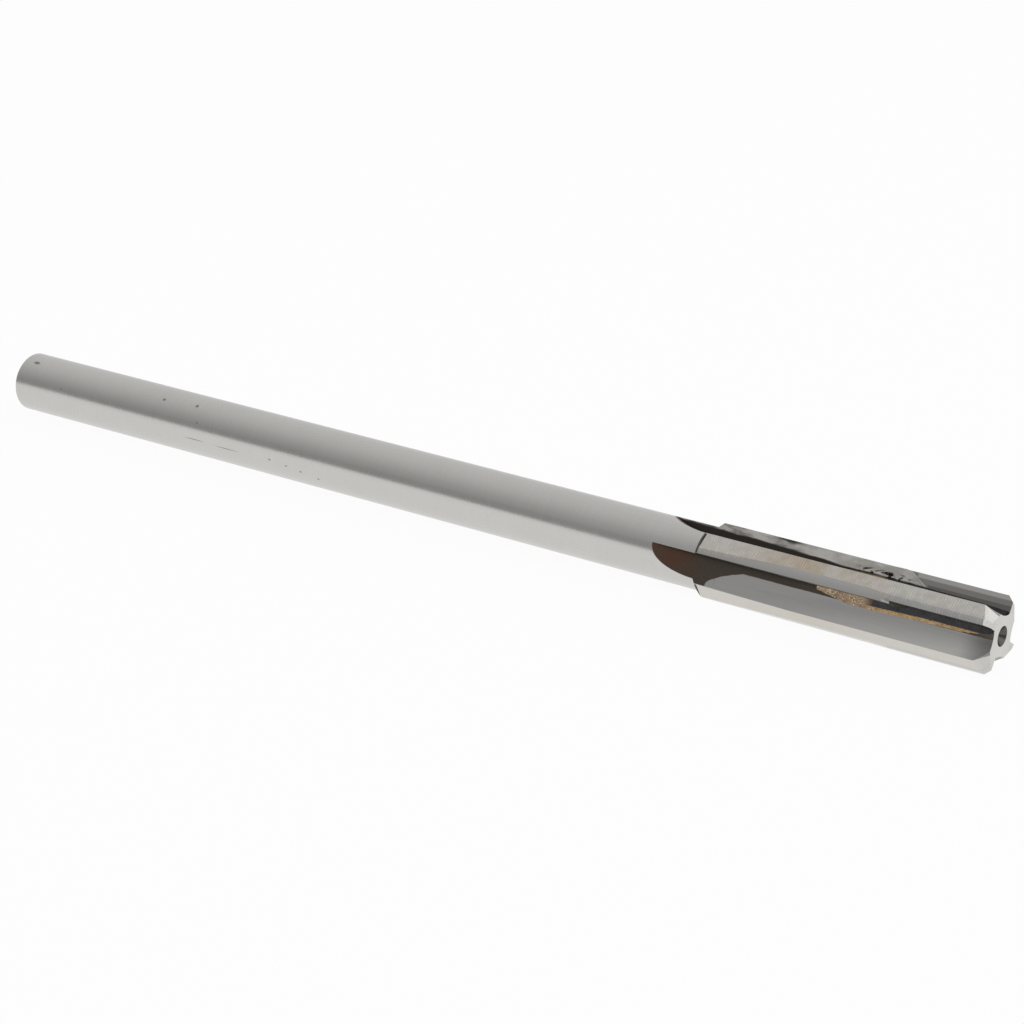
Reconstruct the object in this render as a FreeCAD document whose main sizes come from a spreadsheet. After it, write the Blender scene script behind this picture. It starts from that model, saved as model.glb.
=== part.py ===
import FreeCAD, Part
import math
import os

import Sketcher

# Straight-flute machine reamer with brazed carbide tips and a straight shank.
#
# Frame: +X runs along the axis from the shank's rear face to the cutting end and +Z is up.
# What repeats is drawn once, for the first flute, whose milled front wall is the half-plane
# Z = 0, Y > 0: the flute lies on its +Z side, and the land that it belongs to on its -Z side.
# The whole tool is then rolled about its axis until it lies on one cutting edge and the heel
# of the land beside it. Lengths are in millimetres and angles in degrees.
DIMENSIONS = (
    # Whole tool
    ("overall_length", 177.8),
    ("cutting_diameter", 11.125),
    ("flute_count", 4),
    # Shank
    ("shank_diameter", 9.474),
    ("shank_chamfer", 0.6),
    # Lathe centres in both ends
    ("centre_mouth_diameter", 2.86),
    ("centre_pilot_diameter", 1.2),
    ("centre_cone_angle", 60.0),
    ("centre_pilot_length", 1.6),
    ("centre_drill_point_angle", 118.0),
    # Fluted head
    ("head_length", 44.65),
    ("steel_land_diameter", 11.0),
    ("sized_length", 14.9),
    ("size_blend_length", 3.0),
    ("relief_flat_height", 5.32),
    ("relief_taper_setback", 30.0),
    ("relief_rear_height", 5.12),
    ("relief_lag_angle", 29.9),
    # Milled flutes
    ("flute_floor_height", 3.2),
    ("flute_length", 44.6),
    ("flute_cutter_diameter", 42.0),
    # Ground gullets, from the cutting end back
    ("gullet_front_root_depth", 0.2),
    ("gullet_front_hollow", 0.54),
    ("gullet_tip_setback", 10.0),
    ("gullet_tip_band_width", 0.4),
    ("gullet_tip_root_depth", 0.3),
    ("gullet_tip_hollow", 0.25),
    ("gullet_pool_setback", 20.0),
    ("gullet_pool_band_width", 0.85),
    ("gullet_pool_root_depth", 0.05),
    ("gullet_pool_hollow", 0.17),
    ("gullet_length", 42.0),
    ("gullet_rear_band_width", 1.0),
    ("gullet_rear_hollow", 0.02),
    # Carbide tips
    ("tip_length", 15.3),
    ("tip_thickness", 1.6),
    ("tip_seat_height", 3.36),
    ("tip_end_angle", 58.0),
    ("rake_grind_angle", 4.3),
    ("rake_grind_overrun", 0.5),
    ("rake_grind_undercut", 0.3),
    # Lead chamfer
    ("lead_length", 0.81),
    ("lead_relief_angle", 14.0),
    ("lead_heel_lag_angle", 47.3),
    ("lead_heel_slope_angle", 41.6),
    # Braze beads, from the cutting end back
    ("braze_front_setback", 0.25),
    ("braze_front_height", 0.25),
    ("braze_front_sink", 0.34),
    ("braze_front_reach", 0.3),
    ("braze_nose_setback", 4.5),
    ("braze_nose_height", 0.48),
    ("braze_nose_sink", 0.51),
    ("braze_nose_reach", 1.0),
    ("braze_tip_setback", 11.0),
    ("braze_tip_height", 0.55),
    ("braze_tip_sink", 0.365),
    ("braze_tip_reach", 1.05),
    ("braze_seat_setback", 17.0),
    ("braze_seat_height", 0.6),
    ("braze_seat_sink", 0.19),
    ("braze_seat_reach", 1.25),
    ("braze_pool_setback", 22.2),
    ("braze_pool_height", 0.5),
    ("braze_pool_sink", 0.11),
    ("braze_pool_reach", 1.45),
    ("braze_tail_setback", 26.5),
    ("braze_tail_height", 0.25),
    ("braze_tail_sink", 0.03),
    ("braze_tail_reach", 0.5),
    ("braze_bow", 0.02),
    ("braze_wall_sink", 0.03),
    ("braze_root_depth", 0.9),
)

AXIS = FreeCAD.Vector(1, 0, 0)
# How far a cutting profile reaches past the metal that it removes.
SPARE = "1"

# Where a braze bead's sections are taken, from the cutting end back.
BEAD_STATIONS = ("front", "nose", "tip", "seat", "pool", "tail")

# Expressions that several profiles share.
TIP_FACE = "dims.overall_length"
CUTTING_RADIUS = "dims.cutting_diameter / 2"
SHANK_RADIUS = "dims.shank_diameter / 2"
LAND_RADIUS = "dims.steel_land_diameter / 2"
SHOULDER = f"({TIP_FACE} - dims.head_length)"
SHOULDER_FOOT = f"({SHOULDER} - ({LAND_RADIUS} - {SHANK_RADIUS}))"
FLOOR = "dims.flute_floor_height"
# The next land's relief flat cuts the flute's floor at this distance from the front wall.
NEXT_RELIEF = "(360 / dims.flute_count - dims.relief_lag_angle)"
HEEL = f"((dims.relief_flat_height - {FLOOR} * cos({NEXT_RELIEF})) / sin({NEXT_RELIEF}))"


def tip_end(height, overrun="0"):
    """Place along X of a tip's slanted rear end at one height above the axis."""
    rise = f"({CUTTING_RADIUS} - ({height}))"
    return f"{TIP_FACE} - dims.tip_length - {overrun} + {rise} * tan(dims.tip_end_angle)"


def ground_face(height):
    """Distance of the ground rake face behind the milled wall at one height above the axis."""
    return f"(({height}) * tan(dims.rake_grind_angle))"


def write_dimensions(doc):
    """Put the driving dimensions on the sheet: names in column A, values in column B."""
    sheet = doc.addObject("Spreadsheet::Sheet", "dims")
    for row, (name, value) in enumerate(DIMENSIONS, start=1):
        sheet.set(f"A{row}", name)
        sheet.set(f"B{row}", str(value))
        sheet.setAlias(f"B{row}", name)
    doc.recompute()
    return sheet


def origin_feature(body, role):
    """One of the body's own origin planes or axes."""
    return next(feature for feature in body.Origin.OriginFeatures if feature.Role == role)


def new_body(doc, label):
    body = doc.addObject("PartDesign::Body", label)
    body.Label = label
    return body


def bind(obj, **expressions):
    for name, expression in expressions.items():
        obj.setExpression(name, expression)


def attach(sketch, body, role):
    sketch.AttachmentSupport = (origin_feature(body, role), [""])
    sketch.MapMode = "FlatFace"


def arc_between(start, end, sagitta):
    """An arc that bows to the left of the way from start to end, and whether it runs from it."""
    chord = end - start
    left = FreeCAD.Vector(-chord.y, chord.x, 0).normalize()
    middle = (start + end) * 0.5 + left * sagitta
    return Part.Arc(start, middle, end)


def draw(sketch, corners):
    """Close an outline through the corners, every corner held by dimensions bound to the sheet.

    A corner is a pair of expressions. A third one bows the edge that leaves the corner: it is
    the height of the bow, to the right of the way round.
    """
    def value(expression):
        return float(sketch.evalExpression(expression))

    places = [FreeCAD.Vector(value(corner[0]), value(corner[1]), 0) for corner in corners]
    count = len(corners)
    ends = []
    for number, corner in enumerate(corners):
        start = places[number]
        end = places[(number + 1) % count]
        if len(corner) == 3:
            sketch.addGeometry(arc_between(start, end, -value(corner[2])))
            drawn = sketch.Geometry[number]
            forward = drawn.StartPoint.distanceToPoint(start) < drawn.EndPoint.distanceToPoint(start)
        else:
            sketch.addGeometry(Part.LineSegment(start, end))
            forward = True
        ends.append((1, 2) if forward else (2, 1))
    for number, corner in enumerate(corners):
        following = (number + 1) % count
        joint = ("Coincident", number, ends[number][1], following, ends[following][0])
        sketch.addConstraint(Sketcher.Constraint(*joint))
        for kind, expression, place in (
            ("DistanceX", corner[0], places[number].x),
            ("DistanceY", corner[1], places[number].y),
        ):
            held = Sketcher.Constraint(kind, -1, 1, number, ends[number][0], place)
            name_constraint(sketch, held, f"corner_{number}_{kind[-1]}", expression)
        if len(corner) == 3:
            across = f"({corners[following][0]} - ({corner[0]}))"
            along = f"({corners[following][1]} - ({corner[1]}))"
            radius = f"({across}^2 + {along}^2) / (8 * ({corner[2]})) + ({corner[2]}) / 2"
            held = Sketcher.Constraint("Radius", number, value(radius))
            name_constraint(sketch, held, f"bow_{number}", radius)


def name_constraint(sketch, constraint, name, expression):
    sketch.renameConstraint(sketch.addConstraint(constraint), name)
    sketch.setExpression(f"Constraints.{name}", expression)


def axial_sketch(body, name, corners, turn="0"):
    """A sketch on a half-plane through the axis, turned from Y towards Z: X, then radius."""
    sketch = body.newObject("Sketcher::SketchObject", name)
    attach(sketch, body, "XY_Plane")
    sketch.AttachmentOffset = FreeCAD.Placement(FreeCAD.Vector(), FreeCAD.Rotation(AXIS, 1))
    bind(sketch, **{"AttachmentOffset.Rotation.Angle": turn})
    draw(sketch, corners)
    return sketch


def cross_sketch(body, name, corners, place):
    """A sketch across the axis at one place along X: Y, then Z."""
    sketch = body.newObject("Sketcher::SketchObject", name)
    attach(sketch, body, "YZ_Plane")
    bind(sketch, **{"AttachmentOffset.Base.z": place})
    draw(sketch, corners)
    return sketch


def pocket(body, sketch, name, length, **settings):
    feature = body.newObject("PartDesign::Pocket", name)
    feature.Profile = sketch
    bind(feature, Length=length)
    for setting, value in settings.items():
        setattr(feature, setting, value)
    return feature


def loft(body, kind, name, sketches, ruled=False):
    feature = body.newObject(f"PartDesign::{kind}", name)
    feature.Profile = sketches[0]
    feature.Sections = sketches[1:]
    feature.Ruled = ruled
    return feature


def turned_blank(body):
    """Shank, shoulder and head turned as one bar, with a lathe centre in each end."""
    mouth = "dims.centre_mouth_diameter / 2"
    pilot = "dims.centre_pilot_diameter / 2"
    cone = f"({mouth} - {pilot}) / tan(dims.centre_cone_angle / 2)"
    pilot_end = f"{cone} + dims.centre_pilot_length"
    point = f"{pilot_end} + {pilot} / tan(dims.centre_drill_point_angle / 2)"
    corners = (
        (point, "0"),
        (pilot_end, pilot),
        (cone, pilot),
        ("0", mouth),
        ("0", f"{SHANK_RADIUS} - dims.shank_chamfer"),
        ("dims.shank_chamfer", SHANK_RADIUS),
        (SHOULDER_FOOT, SHANK_RADIUS),
        (SHOULDER, LAND_RADIUS),
        (f"{TIP_FACE} - dims.sized_length - dims.size_blend_length", LAND_RADIUS),
        (f"{TIP_FACE} - dims.sized_length", CUTTING_RADIUS),
        (TIP_FACE, CUTTING_RADIUS),
        (TIP_FACE, mouth),
        (f"{TIP_FACE} - ({cone})", pilot),
        (f"{TIP_FACE} - ({pilot_end})", pilot),
        (f"{TIP_FACE} - ({point})", "0"),
    )
    sketch = axial_sketch(body, "turned_outline", corners)
    feature = body.newObject("PartDesign::Revolution", "turned_blank")
    feature.Profile = sketch
    feature.ReferenceAxis = (sketch, ["H_Axis"])
    feature.Angle = 360
    return feature


def milled_flute(body):
    """The straight stretch of a flute: a front wall through the axis and a flat floor."""
    reach = f"{CUTTING_RADIUS} + {SPARE}"
    corners = ((FLOOR, "0"), (reach, "0"), (reach, reach), (FLOOR, reach))
    sketch = cross_sketch(body, "flute_section", corners, TIP_FACE)
    return pocket(body, sketch, "milled_flute", "dims.flute_length")


def flute_runout(body):
    """The rounded rear end that the disc cutter leaves where it lifts out of the shank."""
    centre = f"{FLOOR} + dims.flute_cutter_diameter / 2"
    width = f"{CUTTING_RADIUS} + {SPARE}"
    corners = ((FLOOR, "0"), (centre, "0"), (centre, width), (FLOOR, width))
    sketch = cross_sketch(body, "cutter_section", corners, f"{TIP_FACE} - dims.flute_length")
    feature = body.newObject("PartDesign::Groove", "flute_runout")
    feature.Profile = sketch
    feature.ReferenceAxis = (sketch, ["Edge2"])
    feature.Angle = 360
    return feature


def land_relief(body):
    """The flat that backs the land off behind its margin; it sinks a little towards the shank."""
    top = f"{CUTTING_RADIUS} + {SPARE}"
    end = f"{TIP_FACE} + {SPARE}"
    height = "dims.relief_flat_height"
    corners = (
        (SHOULDER_FOOT, "dims.relief_rear_height"),
        (f"{TIP_FACE} - dims.relief_taper_setback", height),
        (end, height),
        (end, top),
        (SHOULDER_FOOT, top),
    )
    sketch = axial_sketch(body, "relief_outline", corners, "-dims.relief_lag_angle")
    return pocket(body, sketch, "land_relief", CUTTING_RADIUS, SideType="Symmetric")


def ground_rake(body):
    """The cutting face, ground back from the milled wall over the carbide and a little past it."""
    low = "dims.tip_seat_height - dims.rake_grind_undercut"
    high = f"{CUTTING_RADIUS} + {SPARE}"
    front = f"{TIP_FACE} + {SPARE}"
    overrun = "dims.rake_grind_overrun"
    corners = ((tip_end(low, overrun), low), (front, low), (front, high), (tip_end(high, overrun), high))
    sketch = axial_sketch(body, "rake_outline", corners, "-dims.rake_grind_angle")
    depth = ground_face(CUTTING_RADIUS)
    return pocket(body, sketch, "ground_rake", f"2 * {depth}", Reversed=True)


def ground_gullet(body):
    """The hollow that is ground into the flute's floor and deepens towards the cutting end."""
    # Place along X, width of the unground band beside the wall, depth at the band, hollow.
    stations = (
        (f"{TIP_FACE} + {SPARE}", "0",
         "dims.gullet_front_root_depth", "dims.gullet_front_hollow"),
        (f"{TIP_FACE} - dims.gullet_tip_setback", "dims.gullet_tip_band_width",
         "dims.gullet_tip_root_depth", "dims.gullet_tip_hollow"),
        (f"{TIP_FACE} - dims.gullet_pool_setback", "dims.gullet_pool_band_width",
         "dims.gullet_pool_root_depth", "dims.gullet_pool_hollow"),
        (f"{TIP_FACE} - dims.gullet_length", "dims.gullet_rear_band_width",
         "0", "dims.gullet_rear_hollow"),
    )
    top = f"{FLOOR} + {SPARE}"
    sketches = []
    for number, (place, band, root_depth, hollow) in enumerate(stations, start=1):
        corners = ((f"{FLOOR} - {root_depth}", band), (top, band), (top, HEEL), (FLOOR, HEEL, hollow))
        sketches.append(cross_sketch(body, f"gullet_section_{number}", corners, place))
    return loft(body, "SubtractiveLoft", "ground_gullet", sketches)


def lead_facet(body, name, turn, height, slope, **settings):
    """One flat of the lead chamfer: its height at the tip face and its rise for each mm back."""
    front = f"{TIP_FACE} + {SPARE}"
    top = f"{CUTTING_RADIUS} + {SPARE}"
    corners = (
        (front, f"{height} - {SPARE} * {slope}"),
        (front, top),
        (f"{TIP_FACE} - ({top} - {height}) / {slope}", top),
    )
    sketch = axial_sketch(body, f"{name}_outline", corners, turn)
    return pocket(body, sketch, name, "dims.cutting_diameter", **settings)


def lead_chamfer(body):
    """The chamfer that does the cutting: a narrow relieved facet, and a steeper one behind it."""
    edge_turn = "(-dims.rake_grind_angle - dims.lead_relief_angle)"
    edge_slope = "cos(dims.lead_relief_angle)"
    edge_height = f"(({CUTTING_RADIUS} - dims.lead_length) * {edge_slope})"
    edge = lead_facet(body, "lead_edge", edge_turn, edge_height, edge_slope, SideType="Symmetric")
    # The heel facet starts from the edge facet where the margin ends.
    margin_width = f"acos(dims.relief_flat_height / ({CUTTING_RADIUS})) / 1 deg"
    margin_end = f"({margin_width} - dims.relief_lag_angle)"
    heel_turn = "(-dims.rake_grind_angle - dims.lead_heel_lag_angle)"
    heel_slope = "tan(dims.lead_heel_slope_angle)"
    meeting = f"({edge_height} / cos({margin_end} - {edge_turn}))"
    heel_height = f"({meeting} * cos({margin_end} - {heel_turn}))"
    heel = lead_facet(body, "lead_heel", heel_turn, heel_height, heel_slope, Reversed=True)
    return [edge, heel]


def ground_form(doc):
    """The finished form of steel and carbide together, as if they were one bar."""
    body = new_body(doc, "ground_form")
    turned_blank(body)
    doc.recompute()
    cuts = [
        milled_flute(body),
        flute_runout(body),
        land_relief(body),
        ground_rake(body),
        ground_gullet(body),
    ]
    cuts += lead_chamfer(body)
    doc.recompute()
    pattern = body.newObject("PartDesign::PolarPattern", "all_flutes")
    pattern.Originals = cuts
    pattern.Axis = (origin_feature(body, "X_Axis"), [""])
    pattern.Angle = 360
    bind(pattern, Occurrences="dims.flute_count")
    body.Tip = pattern
    return body


def tip_blank(doc, number):
    """The space that one carbide tip takes in its seat, with room outside the form."""
    body = new_body(doc, f"tip_blank_{number}")
    low = "dims.tip_seat_height"
    high = f"{CUTTING_RADIUS} + {SPARE}"
    front = f"{TIP_FACE} + {SPARE}"
    corners = ((tip_end(low), low), (front, low), (front, high), (tip_end(high), high))
    sketch = axial_sketch(body, f"tip_outline_{number}", corners)
    pad = body.newObject("PartDesign::Pad", f"tip_pad_{number}")
    pad.Profile = sketch
    pad.Reversed = True
    bind(pad, Length="dims.tip_thickness")
    return body


def braze_blank(doc, number):
    """A bead along the flute's root, which widens to a pool behind the tip, before it is fitted."""
    body = new_body(doc, f"braze_blank_{number}")
    root = f"{FLOOR} - dims.braze_root_depth"
    behind = "-dims.braze_root_depth"
    tops = {name: f"({FLOOR} + dims.braze_{name}_height)" for name in BEAD_STATIONS}
    # Over the tip the wall has been ground back.
    walls = dict.fromkeys(BEAD_STATIONS, "0")
    for name in ("front", "nose", "tip"):
        walls[name] = ground_face(tops[name])
    sketches = []
    for name in BEAD_STATIONS:
        reach = f"dims.braze_{name}_reach"
        corners = (
            (root, reach),
            (f"{FLOOR} - dims.braze_{name}_sink", reach, "dims.braze_bow"),
            (tops[name], f"-{walls[name]} - dims.braze_wall_sink"),
            (tops[name], behind),
            (root, behind),
        )
        place = f"{TIP_FACE} - dims.braze_{name}_setback"
        sketches.append(cross_sketch(body, f"bead_{number}_{name}", corners, place))
    loft(body, "AdditiveLoft", f"bead_{number}", sketches, ruled=True)
    return body


def boolean(doc, kind, label, base, tool):
    feature = doc.addObject(f"Part::{kind}", label)
    feature.Label = label
    feature.Base = base
    feature.Tool = tool
    return feature


def lying_roll(sheet):
    """Turn about X that lays the tool on one cutting edge and the heel across the next flute."""
    radius = sheet.cutting_diameter / 2
    rake = math.radians(sheet.rake_grind_angle)
    relief = math.radians(360 / sheet.flute_count - sheet.relief_lag_angle)
    heel = (sheet.relief_flat_height - sheet.flute_floor_height * math.cos(relief)) / math.sin(relief)
    across = sheet.flute_floor_height - radius * math.cos(rake)
    along = heel + radius * math.sin(rake)
    return -math.degrees(math.atan2(along, across))


def check(doc):
    """Stop if any object failed, or has a shape that is empty or broken."""
    for item in doc.Objects:
        if {"Invalid", "Error"} & set(item.State):
            raise RuntimeError(f"{item.Label} failed: {item.State}")
        if item.isDerivedFrom("Part::Feature") and (item.Shape.isNull() or not item.Shape.isValid()):
            raise RuntimeError(f"{item.Label} has no valid shape")


def main():
    doc = FreeCAD.newDocument("machine_reamer")
    sheet = write_dimensions(doc)
    numbers = range(1, int(sheet.flute_count) + 1)
    form = ground_form(doc)
    tips = [tip_blank(doc, number) for number in numbers]
    beads = [braze_blank(doc, number) for number in numbers]
    roll = lying_roll(sheet)
    form.Placement = FreeCAD.Placement(FreeCAD.Vector(), FreeCAD.Rotation(AXIS, roll))
    for number in numbers:
        turn = roll + (number - 1) * 360 / sheet.flute_count
        placement = FreeCAD.Placement(FreeCAD.Vector(), FreeCAD.Rotation(AXIS, turn))
        tips[number - 1].Placement = placement
        beads[number - 1].Placement = placement

    all_tips = doc.addObject("Part::MultiFuse", "all_tip_blanks")
    all_tips.Shapes = tips
    sub_parts = [boolean(doc, "Cut", "reamer_body", form, all_tips)]
    for number in numbers:
        sub_parts.append(boolean(doc, "Common", f"carbide_tip_{number}", form, tips[number - 1]))
        sub_parts.append(boolean(doc, "Cut", f"braze_fillet_{number}", beads[number - 1], form))
    doc.recompute()
    check(doc)

    os.makedirs("parts", exist_ok=True)
    for sub_part in sub_parts:
        sub_part.Shape.exportStep(f"parts/{sub_part.Label}.step")
        volume = sub_part.Shape.Volume
        solids = len(sub_part.Shape.Solids)
        print(f"{sub_part.Label}: {solids} solid, {volume:.2f} mm3")


main()
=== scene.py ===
import math

import bpy
from mathutils import Matrix, Vector


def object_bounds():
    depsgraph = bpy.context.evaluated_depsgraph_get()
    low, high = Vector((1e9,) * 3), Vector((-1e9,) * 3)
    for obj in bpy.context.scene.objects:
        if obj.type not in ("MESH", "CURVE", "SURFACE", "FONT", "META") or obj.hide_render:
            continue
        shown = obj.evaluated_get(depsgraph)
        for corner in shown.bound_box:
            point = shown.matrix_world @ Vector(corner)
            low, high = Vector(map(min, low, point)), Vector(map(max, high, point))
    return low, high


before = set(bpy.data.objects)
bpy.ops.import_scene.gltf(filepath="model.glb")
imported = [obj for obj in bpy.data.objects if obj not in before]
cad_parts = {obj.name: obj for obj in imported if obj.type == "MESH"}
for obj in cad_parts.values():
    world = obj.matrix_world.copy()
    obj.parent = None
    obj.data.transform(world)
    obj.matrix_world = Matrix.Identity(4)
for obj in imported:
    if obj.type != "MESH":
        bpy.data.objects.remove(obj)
cad_low, cad_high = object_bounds()

MM = 1000.0
TIP_X = cad_high[0] * MM

# The tool's sections in millimetres and degrees, as in the part's source.
FLUTE_COUNT = 4
FLUTE_STEP = 360.0 / FLUTE_COUNT
ROLL = -116.47
HEEL_LAG = 36.8
SHANK_RADIUS = 4.737
HEAD = 44.65
SHOULDER = 45.41
# The lands lie outside this radius, and the lathe centres inside the smaller one.
LAND_INSIDE = 4.95
CENTRE_RADIUS = 1.45
# Distances from the tip: the end of the cutter's runouts, the front of the braze pools, and
# the start of the smooth wedge that widens each margin towards the tip.
RUNOUT_END = 53.5
POOL_FRONT = 18.5
WEDGE_START = 17.9
# Relieved land: angle of its flat behind the front wall, height, and its fall to the shoulder.
RELIEF_LAG = 29.9
RELIEF_HEIGHT = 5.32
RELIEF_FALL = 0.2
FALL_START = 30.0
# Front wall, in radians, of the flute whose land gets the ribs' painted light most strongly.
RIBS_LIT_LAND = math.radians(ROLL + 270.0)
# A surface faces along a direction when its normal's share of it is above this.
FACING = 0.9
# Pits and stains on the shank: place from the rear face, angle, radius, and stretch along it.
SHANK_MARKS = (
    (31.9, 126.6, 0.22, 1.3), (38.6, 122.2, 0.26, 1.2), (10.7, 159.4, 0.13, 1.0),
    (40.1, 155.6, 0.13, 1.0), (39.8, 189.2, 0.06, 30.0), (46.5, 190.8, 0.05, 45.0),
    (55.3, 189.1, 0.12, 2.0), (58.6, 193.5, 0.1, 2.5), (61.4, 198.0, 0.13, 1.6),
    (64.8, 204.3, 0.12, 2.0), (3.2, 118.0, 0.3, 2.0),
)
# Share of the floor that glows white, the rest being matt and taking the shadow.
FLOOR_GLOW = 0.95


def linear(red, green, blue):
    """A linear colour from the 0 to 255 values that it shows as."""
    def channel(value):
        value /= 255.0
        return value / 12.92 if value <= 0.04045 else ((value + 0.055) / 1.055) ** 2.4
    return (channel(red), channel(green), channel(blue), 1.0)


# Colours of the steel, the carbide and the solder.
SHANK_STEEL = linear(200, 199, 196)
RELIEF_STEEL = linear(216, 212, 205)
WARM_STEEL = linear(200, 184, 163)
MARGIN_STEEL = linear(196, 195, 193)
FIRED_STEEL = linear(98, 90, 82)
RUSTY_STEEL = linear(112, 82, 66)
GULLET_STEEL = linear(203, 202, 199)
# Painted shade: the ground gullet floor turns to this towards the tip.
GULLET_PAINTED_SHADE = linear(146, 144, 141)
WALL_GREY = linear(206, 202, 196)
WALL_PALE = linear(236, 233, 227)
WALL_SMOKE = linear(86, 81, 79)
WALL_ROOT = linear(66, 61, 57)
BLACK_FLUX = linear(38, 36, 36)
END_FACE = linear(206, 205, 201)
# Painted shade in the holes of the lathe centres.
CENTRE_PAINTED_SHADE = linear(92, 91, 88)
# Painted shade: a dark line on the shoulder bevel.
BEVEL_PAINTED_SHADE = linear(72, 70, 68)
MARK_BROWN = linear(96, 92, 86)
CARBIDE = linear(156, 153, 149)
CARBIDE_ROOT = linear(124, 121, 118)
CARBIDE_RELIEF = linear(208, 206, 203)
CARBIDE_MARGIN = linear(184, 182, 180)
CARBIDE_CHAMFER = linear(198, 197, 193)
BEAD_GOLD = linear(190, 160, 118)
POOL_GOLD = linear(172, 148, 124)
SOLDER_PIT = linear(88, 72, 58)
SOLDER_GLINT = linear(222, 206, 182)
BURNT_SOLDER = linear(62, 62, 64)


def calculate(tree, operation, *values):
    """The result of a math node, whose values are sockets or numbers."""
    node = tree.nodes.new("ShaderNodeMath")
    node.operation = operation
    for value, socket in zip(values, node.inputs):
        if isinstance(value, bpy.types.NodeSocket):
            tree.links.new(value, socket)
        else:
            socket.default_value = value
    return node.outputs[0]


class Field:
    """A number at each point of a surface: a socket or a constant, with plain arithmetic."""

    def __init__(self, shade, source):
        self.shade = shade
        self.source = source

    def __add__(self, other):
        return self.shade.math("ADD", self, other)

    def __sub__(self, other):
        return self.shade.math("SUBTRACT", self, other)

    def __mul__(self, other):
        return self.shade.math("MULTIPLY", self, other)

    def __truediv__(self, other):
        return self.shade.math("DIVIDE", self, other)

    __radd__ = __add__
    __rmul__ = __mul__

    def __rsub__(self, other):
        return self.shade.math("SUBTRACT", other, self)

    def above(self, edge, soft=0.03):
        """One where the field is above the edge, nought where it is below."""
        return self.shade.ramp(self, edge, soft)

    def below(self, edge, soft=0.03):
        return 1.0 - self.above(edge, soft)

    def between(self, low, high, soft=0.03):
        return self.above(low, soft) * self.below(high, soft)


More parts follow.
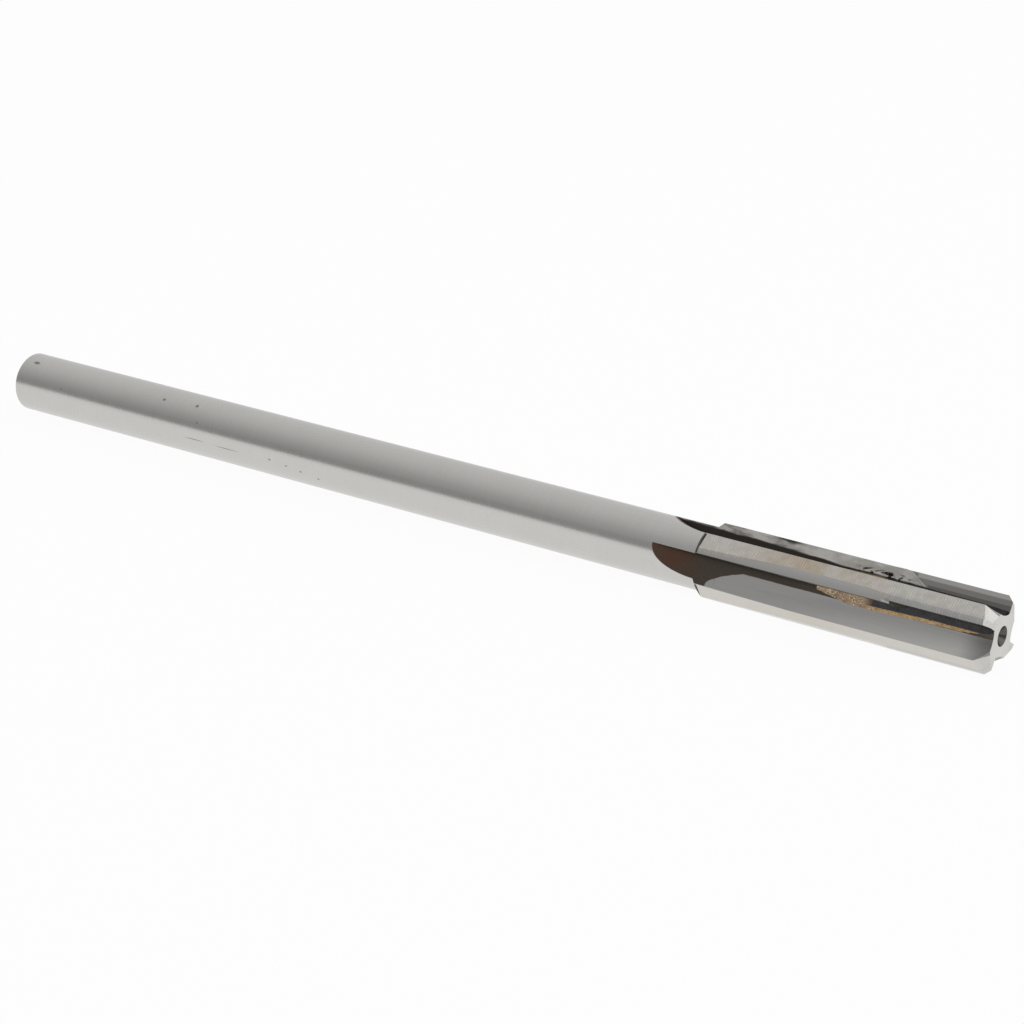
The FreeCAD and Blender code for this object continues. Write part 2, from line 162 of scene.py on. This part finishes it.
class Shade:
    """One procedural material, with the tool's own coordinates to hand."""

    def __init__(self, name):
        self.material = bpy.data.materials.new(name)
        self.material.use_nodes = True
        self.tree = self.material.node_tree
        self.tree.nodes.clear()
        coordinates = self.node("ShaderNodeTexCoord")
        scaled = self.node("ShaderNodeVectorMath", operation="SCALE")
        self.tree.links.new(coordinates.outputs["Object"], scaled.inputs[0])
        scaled.inputs["Scale"].default_value = MM
        self.place = scaled.outputs[0]
        x, y, z = self.split(self.place)
        geometry = self.node("ShaderNodeNewGeometry")
        self.normal_x, normal_y, normal_z = self.split(geometry.outputs["Normal"])
        self.along = x
        self.back = TIP_X - x
        self.radius = self.math("SQRT", y * y + z * z)
        self.theta = self.math("DEGREES", self.math("ARCTAN2", z, y))
        # Angle from the nearest flute's front wall, from the land's heel round to the next heel.
        self.phi = self.math("WRAP", self.theta - ROLL, FLUTE_STEP - HEEL_LAG, -HEEL_LAG)
        self.turn = self.math("RADIANS", self.theta - self.phi)
        cosine, sine = self.math("COSINE", self.turn), self.math("SINE", self.turn)
        self.u = y * cosine + z * sine
        self.v = z * cosine - y * sine
        self.normal_v = normal_z * cosine - normal_y * sine

    def node(self, kind, **settings):
        node = self.tree.nodes.new(kind)
        for name, value in settings.items():
            setattr(node, name, value)
        return node

    def put(self, value, socket):
        """Link a field or socket to a socket, or set the socket's own value."""
        if isinstance(value, Field):
            value = value.source
        if isinstance(value, bpy.types.NodeSocket):
            self.tree.links.new(value, socket)
        else:
            socket.default_value = value

    def math(self, operation, *values):
        plain = [value.source if isinstance(value, Field) else value for value in values]
        return Field(self, calculate(self.tree, operation, *plain))

    def split(self, vector):
        node = self.node("ShaderNodeSeparateXYZ")
        self.tree.links.new(vector, node.inputs[0])
        return tuple(Field(self, output) for output in node.outputs)

    def join(self, *values):
        node = self.node("ShaderNodeCombineXYZ")
        for value, socket in zip(values, node.inputs):
            self.put(value, socket)
        return node.outputs[0]

    def ramp(self, value, edge, soft):
        """A smooth step from nought to one across a soft edge."""
        node = self.node("ShaderNodeMapRange", interpolation_type="SMOOTHSTEP")
        low = edge - soft
        high = edge + soft
        for item, socket in zip((value, low, high), node.inputs):
            self.put(item, socket)
        return Field(self, node.outputs[0])

    def spot(self, along, angle, size, stretch=1.0):
        """One inside a small round spot: its place from the rear face, angle and radius in mm."""
        across = self.math("WRAP", self.theta - angle, 180.0, -180.0) * math.radians(SHANK_RADIUS)
        lengthwise = (self.along - along) / stretch
        distance = self.math("SQRT", lengthwise * lengthwise + across * across)
        return distance.below(size, size * 0.5)

    def noise(self, vector, scale=1.0, detail=2.0, roughness=0.5, distortion=0.0):
        node = self.node("ShaderNodeTexNoise")
        self.tree.links.new(vector, node.inputs["Vector"])
        for name, value in (("Scale", scale), ("Detail", detail), ("Roughness", roughness),
                            ("Distortion", distortion)):
            node.inputs[name].default_value = value
        return Field(self, node.outputs["Fac"])

    def mix(self, factor, first, second):
        """A colour between two colours, or between a colour socket and a colour."""
        node = self.node("ShaderNodeMix", data_type="RGBA")
        self.put(factor, node.inputs["Factor"])
        self.put(first, node.inputs[6])
        self.put(second, node.inputs[7])
        return node.outputs[2]

    def blend(self, factor, first, second):
        """A number between two numbers."""
        return first + (second - first) * factor

    def shaded(self, colour, factor):
        """A colour made darker or lighter by a factor."""
        node = self.node("ShaderNodeVectorMath", operation="SCALE")
        if isinstance(colour, tuple):
            colour = colour[:3]
        self.put(colour, node.inputs[0])
        self.put(factor, node.inputs["Scale"])
        return node.outputs[0]

    def finish(self, colour, roughness, height, bump_mm, anisotropic=0.0):
        """The metal's shader, with its bump in millimetres."""
        shader = self.node("ShaderNodeBsdfPrincipled")
        self.put(colour, shader.inputs["Base Color"])
        self.put(roughness, shader.inputs["Roughness"])
        shader.inputs["Metallic"].default_value = 1.0
        shader.inputs["Anisotropic"].default_value = anisotropic
        if anisotropic:
            shader.inputs["Anisotropic Rotation"].default_value = 0.25
            tangent = self.node("ShaderNodeTangent", direction_type="RADIAL", axis="X")
            self.tree.links.new(tangent.outputs[0], shader.inputs["Tangent"])
        bump = self.node("ShaderNodeBump")
        bump.inputs["Strength"].default_value = 1.0
        bump.inputs["Distance"].default_value = bump_mm / MM
        self.put(height, bump.inputs["Height"])
        self.tree.links.new(bump.outputs[0], shader.inputs["Normal"])
        output = self.node("ShaderNodeOutputMaterial")
        self.tree.links.new(shader.outputs[0], output.inputs["Surface"])
        return self.material


def land_ribs(shade):
    """Fine grinding ribs across the relieved lands, from nought to one."""
    waver = shade.noise(shade.join(shade.back * 0.7, shade.phi * 0.06, shade.theta * 0.01), 1.0, 2.0)
    wave = shade.math("SINE", shade.back * 17.0 + waver * 9.0) * 0.5 + 0.5
    patchy = shade.noise(shade.join(shade.back * 1.1, shade.phi * 0.09, shade.theta * 0.01), 1.0, 3.0)
    return wave * patchy.above(0.46, 0.2)


def rib_contrast_by_facing(shade):
    """How strongly the ribs show, by which way the land faces: painted light, clear on one land and faint
    on the others.
    """
    return shade.math("MAXIMUM", shade.math("COSINE", shade.turn - RIBS_LIT_LAND), 0.0) * 0.8 + 0.2


def relief_edge(shade):
    """Angle at which the margin's smooth strip gives way to the ribbed relief."""
    narrowing = shade.ramp(shade.back, 36.0, 8.0)
    wedge = shade.back.below(WEDGE_START, 0.1) * (WEDGE_START - shade.back) * 3.0
    return narrowing * 11.5 + wedge - 15.4


def land_colour(shade, lightest):
    """The colour of a relieved land, and the height of its ribs."""
    ribs = land_ribs(shade)
    strength = rib_contrast_by_facing(shade)
    warm = shade.noise(shade.place, 0.2, 3.0).above(0.4, 0.15) * shade.back.between(20.0, 34.0, 7.0)
    # Painted light: how strongly the rib lines and the beige tint show depends on which way the land
    # faces; they fade on lands turned away from the first.
    beige = shade.mix(warm * strength * 0.85, lightest, WARM_STEEL)
    return shade.shaded(beige, 0.92 + (ribs - 0.6) * 0.22 * strength), ribs * strength


def inside_flute(shade):
    """One on a flute's floor and walls, nought on the lands and the shank."""
    lag = math.radians(FLUTE_STEP - RELIEF_LAG)
    height = shade.u * math.cos(lag) + shade.v * math.sin(lag)
    fall = shade.math("MAXIMUM", shade.back - FALL_START, 0.0) * (RELIEF_FALL / (SHOULDER - FALL_START))
    in_head = (height + fall).below(RELIEF_HEIGHT - 0.02, 0.01)
    in_shank = shade.radius.below(SHANK_RADIUS - 0.027, 0.012)
    inside = shade.blend(shade.back.below(SHOULDER, 0.02), in_shank, in_head)
    return inside * shade.phi.above(-0.6, 0.2) * shade.normal_x.below(FACING, 0.02)


def flute_finish(shade, grain):
    """The flutes' dark heat-treated floor and runout, with the stretch that is ground clean, darkened
    with painted shade over the last few millimetres to the tip.
    """
    back, u, v = shade.back, shade.u, shade.v
    reddish = back.above(46.0, 3.0) * shade.noise(shade.place, 0.5, 2.0).above(0.35, 0.3)
    dark = shade.shaded(shade.mix(reddish * 0.8, FIRED_STEEL, RUSTY_STEEL), 0.75 + 0.5 * grain)
    ragged = shade.noise(shade.join(back * 0.6, v * 0.8, shade.theta * 0.01), 1.0, 3.0)
    rear_bound = 33.77 + 4.58 * v - 0.55 * v * v + 0.9 * (ragged - 0.5)
    wall_bound = 1.04 + 0.12 * (ragged - 0.5)
    ground = back.below(rear_bound, 0.15) * v.above(wall_bound, 0.05)
    streaks = shade.noise(shade.join(back * 0.12, v * 5.0, u * 5.0), 1.0, 3.0)
    # Painted shade: the ground floor darkens over the last 5 mm to the tip.
    ground_colour = shade.mix(back.below(2.6, 2.4), GULLET_STEEL, GULLET_PAINTED_SHADE)
    ground_colour = shade.shaded(ground_colour, 0.9 + 0.14 * streaks)
    colour = shade.mix(ground, dark, ground_colour)
    return colour, 0.42 - 0.08 * ground, grain * 0.5 - ground * (0.3 + 0.3 * grain)


def wall_colour(shade):
    """The flutes' front walls: grey, with pale ground patches, smoke and black flux marks."""
    back, u = shade.back, shade.u
    patchy = shade.noise(shade.join(back * 0.3, u * 0.8, shade.theta * 0.003), 1.0, 3.0, 0.6)
    colour = shade.mix(patchy.above(0.5, 0.15), WALL_GREY, WALL_PALE)
    smoky = shade.noise(shade.join(back * 0.22, u * 1.1, shade.theta * 0.003 + 7.0), 1.0, 4.0, 0.55)
    colour = shade.mix(back.above(32.0, 1.5) * smoky.above(0.5, 0.12), colour, WALL_SMOKE)
    root_top = 3.85 + 0.5 * (patchy - 0.5) + 0.014 * back.above(30.0, 8.0) * back
    colour = shade.mix(u.below(root_top, 0.12), colour, WALL_ROOT)
    flame = shade.noise(shade.join(back * 0.8, u * 2.4 + back * 0.5, 0.0), 1.0, 3.0, 0.6, 0.6)
    flux = flame.above(0.52, 0.03) * back.between(14.8, 22.5, 1.2) * u.below(4.55, 0.15)
    return shade.mix(flux, colour, BLACK_FLUX)


def body_material():
    """Ground steel, laid on from the shank to the cutting end, each part over the one before."""
    shade = Shade("ground_steel_body")
    back, phi, radius = shade.back, shade.phi, shade.radius
    axial = shade.join(back * 1.6, shade.theta * 0.015, shade.theta * 0.002)
    rings = shade.noise(axial, 1.0, 4.0, 0.65)
    cloud = shade.noise(shade.place, 0.16, 3.0)
    grain = shade.noise(shade.place, 5.0, 3.0)

    # Shank and other turned surfaces, and what no other part of the head covers.
    colour = shade.shaded(SHANK_STEEL, 0.93 + 0.08 * rings + 0.06 * cloud)
    roughness = 0.21 + 0.08 * rings + 0.05 * cloud
    height = rings * 0.5 + grain * 0.06
    for along, angle, size, stretch in SHANK_MARKS:
        mark = shade.spot(along, angle, size, stretch)
        colour = shade.mix(mark * 0.75, colour, MARK_BROWN)
        height = height - mark * 1.5
    inner = back.between(2.0, HEAD, 0.02) * radius.below(LAND_INSIDE, 0.02)
    colour = shade.mix(inner, colour, FIRED_STEEL)

    # Relieved lands, and the smoother margins.
    land = radius.above(LAND_INSIDE, 0.02) * phi.below(-0.2, 0.15) * back.below(HEAD + 0.02, 0.02)
    relief_colour, ribs = land_colour(shade, RELIEF_STEEL)
    margin_colour = shade.shaded(MARGIN_STEEL, 0.94 + 0.08 * cloud)
    on_margin = phi.above(relief_edge(shade), 0.35)
    colour = shade.mix(land, colour, shade.mix(on_margin, relief_colour, margin_colour))
    roughness = shade.blend(land, roughness, 0.3 - 0.1 * on_margin)
    height = shade.blend(land, height, ribs * (1.0 - on_margin) * 0.7)

    # Flutes and their front walls.
    flute = inside_flute(shade) * back.below(RUNOUT_END, 0.1) * radius.above(1.6, 0.02)
    flute_colour, flute_roughness, flute_height = flute_finish(shade, grain)
    colour = shade.mix(flute, colour, flute_colour)
    roughness = shade.blend(flute, roughness, flute_roughness)
    height = shade.blend(flute, height, flute_height)
    wall = shade.normal_v.above(FACING, 0.03) * back.below(RUNOUT_END, 0.1) * radius.above(2.9, 0.02)
    colour = shade.mix(wall, colour, wall_colour(shade))
    roughness = shade.blend(wall, roughness, 0.32)

    # Cutting end, lathe centres and shoulder bevel; the centres and the bevel are darkened with painted
    # shade.
    face = shade.normal_x.above(FACING, 0.03) * back.below(0.05, 0.01)
    colour = shade.mix(face, colour, shade.shaded(END_FACE, 0.92 + 0.1 * grain))
    # Painted shade: the lathe centre holes at both ends are darkened.
    colour = shade.mix(radius.below(CENTRE_RADIUS, 0.01), colour, CENTRE_PAINTED_SHADE)
    # Painted shade: the shoulder bevel is darkened into a dark line.
    bevel = back.between(HEAD, SHOULDER, 0.02) * radius.above(SHANK_RADIUS, 0.02)
    colour = shade.mix(bevel * phi.below(-1.0, 0.5), colour, BEVEL_PAINTED_SHADE)
    return shade.finish(colour, roughness, height, 0.012, anisotropic=0.5)


def carbide_material():
    """Ground carbide: rake face darker towards the root, ribbed relief, margin and chamfer."""
    shade = Shade("ground_carbide")
    back, phi, u, radius = shade.back, shade.phi, shade.u, shade.radius
    grain = shade.noise(shade.place, 9.0, 2.0)
    lines = shade.noise(shade.join(back * 0.15, u * 6.0, shade.v * 2.0), 1.0, 3.0)
    colour = shade.shaded(CARBIDE, 0.86 + 0.2 * lines + 0.06 * grain)
    low = u.below(4.15, 0.03) * back.below(12.4, 0.2)
    colour = shade.mix(low * shade.normal_v.above(FACING, 0.03), colour, CARBIDE_ROOT)
    relief = phi.below(relief_edge(shade), 0.3) * radius.above(4.9, 0.1)
    relief_colour, ribs = land_colour(shade, CARBIDE_RELIEF)
    colour = shade.mix(relief, colour, relief_colour)
    margin = (1.0 - relief) * radius.above(5.4, 0.03)
    colour = shade.mix(margin, colour, shade.shaded(CARBIDE_MARGIN, 0.92 + 0.12 * lines))
    chamfer = shade.normal_x.above(0.4, 0.05)
    colour = shade.mix(chamfer, colour, CARBIDE_CHAMFER)
    roughness = 0.26 + 0.08 * grain
    return shade.finish(colour, roughness, lines * 0.3 + relief * ribs * 0.7, 0.01, anisotropic=0.3)


def braze_material():
    """Silver solder: a golden bead burnt black beside the tip, and a speckled pool behind it with painted
    glints.
    """
    shade = Shade("silver_solder")
    back, v = shade.back, shade.v
    speckle = shade.noise(shade.place, 4.5, 4.0, 0.7)
    blotch = shade.noise(shade.place, 1.1, 3.0, 0.6)
    pool = back.above(POOL_FRONT, 1.5)
    tarnish = shade.mix(pool, BEAD_GOLD, POOL_GOLD)
    colour = shade.mix(blotch.above(0.5, 0.2), shade.shaded(tarnish, 0.7), tarnish)
    colour = shade.mix(speckle.above(0.58, 0.05), colour, SOLDER_PIT)
    # Painted highlight: pale glint specks in the pool.
    colour = shade.mix(speckle.below(0.4, 0.04) * pool, colour, SOLDER_GLINT)
    edge = 0.56 + 0.2 * (blotch - 0.5) + 0.03 * (back - 10.0) * back.above(10.0, 1.0)
    burnt = back.below(POOL_FRONT, 1.0) * v.below(edge, 0.06)
    colour = shade.mix(burnt, colour, shade.shaded(BURNT_SOLDER, 0.5 + blotch))
    roughness = 0.36 + 0.2 * speckle
    height = speckle * 0.8 + blotch * 0.8
    return shade.finish(colour, roughness, height, 0.05)


def dress(material, *nodes):
    """Give CAD nodes one material."""
    for name in nodes:
        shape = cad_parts[name]
        shape.data.materials.clear()
        shape.data.materials.append(material)


FLUTES = range(1, FLUTE_COUNT + 1)
dress(body_material(), "reamer_body")
dress(carbide_material(), *(f"carbide_tip_{number}" for number in FLUTES))
dress(braze_material(), *(f"braze_fillet_{number}" for number in FLUTES))


def studio_floor():
    """A pale floor just under the tool that reads white and keeps a faint shadow."""
    half = 1.6
    corners = [(-half, -half), (half, -half), (half, half), (-half, half)]
    mesh = bpy.data.meshes.new("studio_floor")
    mesh.from_pydata([(x, y, 0.0) for x, y in corners], [], [(0, 1, 2, 3)])
    floor = bpy.data.objects.new("studio_floor", mesh)
    floor.location = (0.0, 0.0, cad_low[2])
    bpy.context.collection.objects.link(floor)
    material = bpy.data.materials.new("studio_floor")
    material.use_nodes = True
    tree = material.node_tree
    tree.nodes.clear()
    seen = seen_by_eye_or_metal(tree)
    share = calculate(tree, "MULTIPLY", seen, FLOOR_GLOW)
    matt = tree.nodes.new("ShaderNodeBsdfDiffuse")
    matt.inputs["Color"].default_value = (0.92, 0.92, 0.92, 1.0)
    glow = tree.nodes.new("ShaderNodeEmission")
    mix = tree.nodes.new("ShaderNodeMixShader")
    tree.links.new(share, mix.inputs[0])
    tree.links.new(matt.outputs[0], mix.inputs[1])
    tree.links.new(glow.outputs[0], mix.inputs[2])
    output = tree.nodes.new("ShaderNodeOutputMaterial")
    tree.links.new(mix.outputs[0], output.inputs["Surface"])
    mesh.materials.append(material)


def seen_by_eye_or_metal(tree):
    """One for rays from the camera, and for those that metal or glass sends on."""
    path = tree.nodes.new("ShaderNodeLightPath")
    total = path.outputs["Is Camera Ray"]
    for name in ("Is Glossy Ray", "Is Transmission Ray"):
        total = calculate(tree, "MAXIMUM", total, path.outputs[name])
    return total


def studio_world():
    """A white studio: dim just above the horizon on the side that faces -Y, light overhead and behind."""
    world = bpy.data.worlds.new("studio")
    bpy.context.scene.world = world
    world.use_nodes = True
    tree = world.node_tree
    tree.nodes.clear()
    coordinates = tree.nodes.new("ShaderNodeTexCoord")
    split = tree.nodes.new("ShaderNodeSeparateXYZ")
    tree.links.new(coordinates.outputs["Generated"], split.inputs[0])
    front = calculate(tree, "MULTIPLY", split.outputs[1], -1.0)
    over = calculate(tree, "ARCTAN2", split.outputs[2], front)
    ramp = tree.nodes.new("ShaderNodeValToRGB")
    tree.links.new(calculate(tree, "DIVIDE", over, math.pi), ramp.inputs[0])
    # Share of the way over from the front horizon to the back one, and the brightness there.
    stops = (
        (0.0, 0.33), (0.08, 0.36), (0.167, 0.41), (0.25, 0.49), (0.333, 0.56),
        (0.42, 0.63), (0.52, 0.69), (0.63, 0.74), (0.78, 0.76), (1.0, 0.78),
    )
    elements = ramp.color_ramp.elements
    while len(elements) < len(stops):
        elements.new(1.0)
    for element, (place, grey) in zip(elements, stops):
        element.position = place
        element.color = (grey, grey, grey, 1.0)
    path = tree.nodes.new("ShaderNodeLightPath")
    below = calculate(tree, "LESS_THAN", split.outputs[2], 0.0)
    white = calculate(tree, "MAXIMUM", path.outputs["Is Camera Ray"], below)
    mix = tree.nodes.new("ShaderNodeMix")
    mix.data_type = "RGBA"
    tree.links.new(white, mix.inputs["Factor"])
    tree.links.new(ramp.outputs[0], mix.inputs[6])
    mix.inputs[7].default_value = (1.0, 1.0, 1.0, 1.0)
    background = tree.nodes.new("ShaderNodeBackground")
    tree.links.new(mix.outputs[2], background.inputs["Color"])
    output = tree.nodes.new("ShaderNodeOutputWorld")
    tree.links.new(background.outputs[0], output.inputs["Surface"])


def softbox(name, place, size, energy):
    """A square lamp that faces the middle of the tool."""
    light = bpy.data.lights.new(name, "AREA")
    light.shape = "SQUARE"
    light.size = size
    light.energy = energy
    lamp = bpy.data.objects.new(name, light)
    middle = (Vector(cad_low) + Vector(cad_high)) / 2
    lamp.location = Vector(place) + middle
    lamp.rotation_euler = (-Vector(place)).to_track_quat("-Z", "Y").to_euler()
    bpy.context.collection.objects.link(lamp)


def photograph_camera():
    """The camera stands in front of the cutting end and looks down along the tool."""
    # Seen from the tip, with the tool rolled back by this much from how it lies.
    lean = Matrix.Rotation(math.radians(3.23), 3, "X")
    place = Vector((0.136558, -0.306152, 0.151097))
    forward = Vector((-0.53459, 0.75704, -0.37565)).normalized()
    right = forward.cross(Vector((0.0, 0.0, 1.0))).normalized()
    up = right.cross(forward)
    turn = lean @ Matrix((right, up, -forward)).transposed()
    data = bpy.data.cameras.new("camera")
    data.lens = 95.8
    data.sensor_width = 36.0
    data.clip_start = 0.01
    camera = bpy.data.objects.new("camera", data)
    tip = Vector((cad_high[0], 0.0, 0.0))
    camera.matrix_world = Matrix.Translation(tip + lean @ place) @ turn.to_4x4()
    bpy.context.collection.objects.link(camera)
    bpy.context.scene.camera = camera


studio_floor()
studio_world()
softbox("key_softbox", (0.75, -0.25, 0.85), 0.8, 1.5)
softbox("back_softbox", (0.7, 0.6, 0.8), 0.8, 1.1)
photograph_camera()
bpy.context.scene.view_settings.view_transform = "Standard"
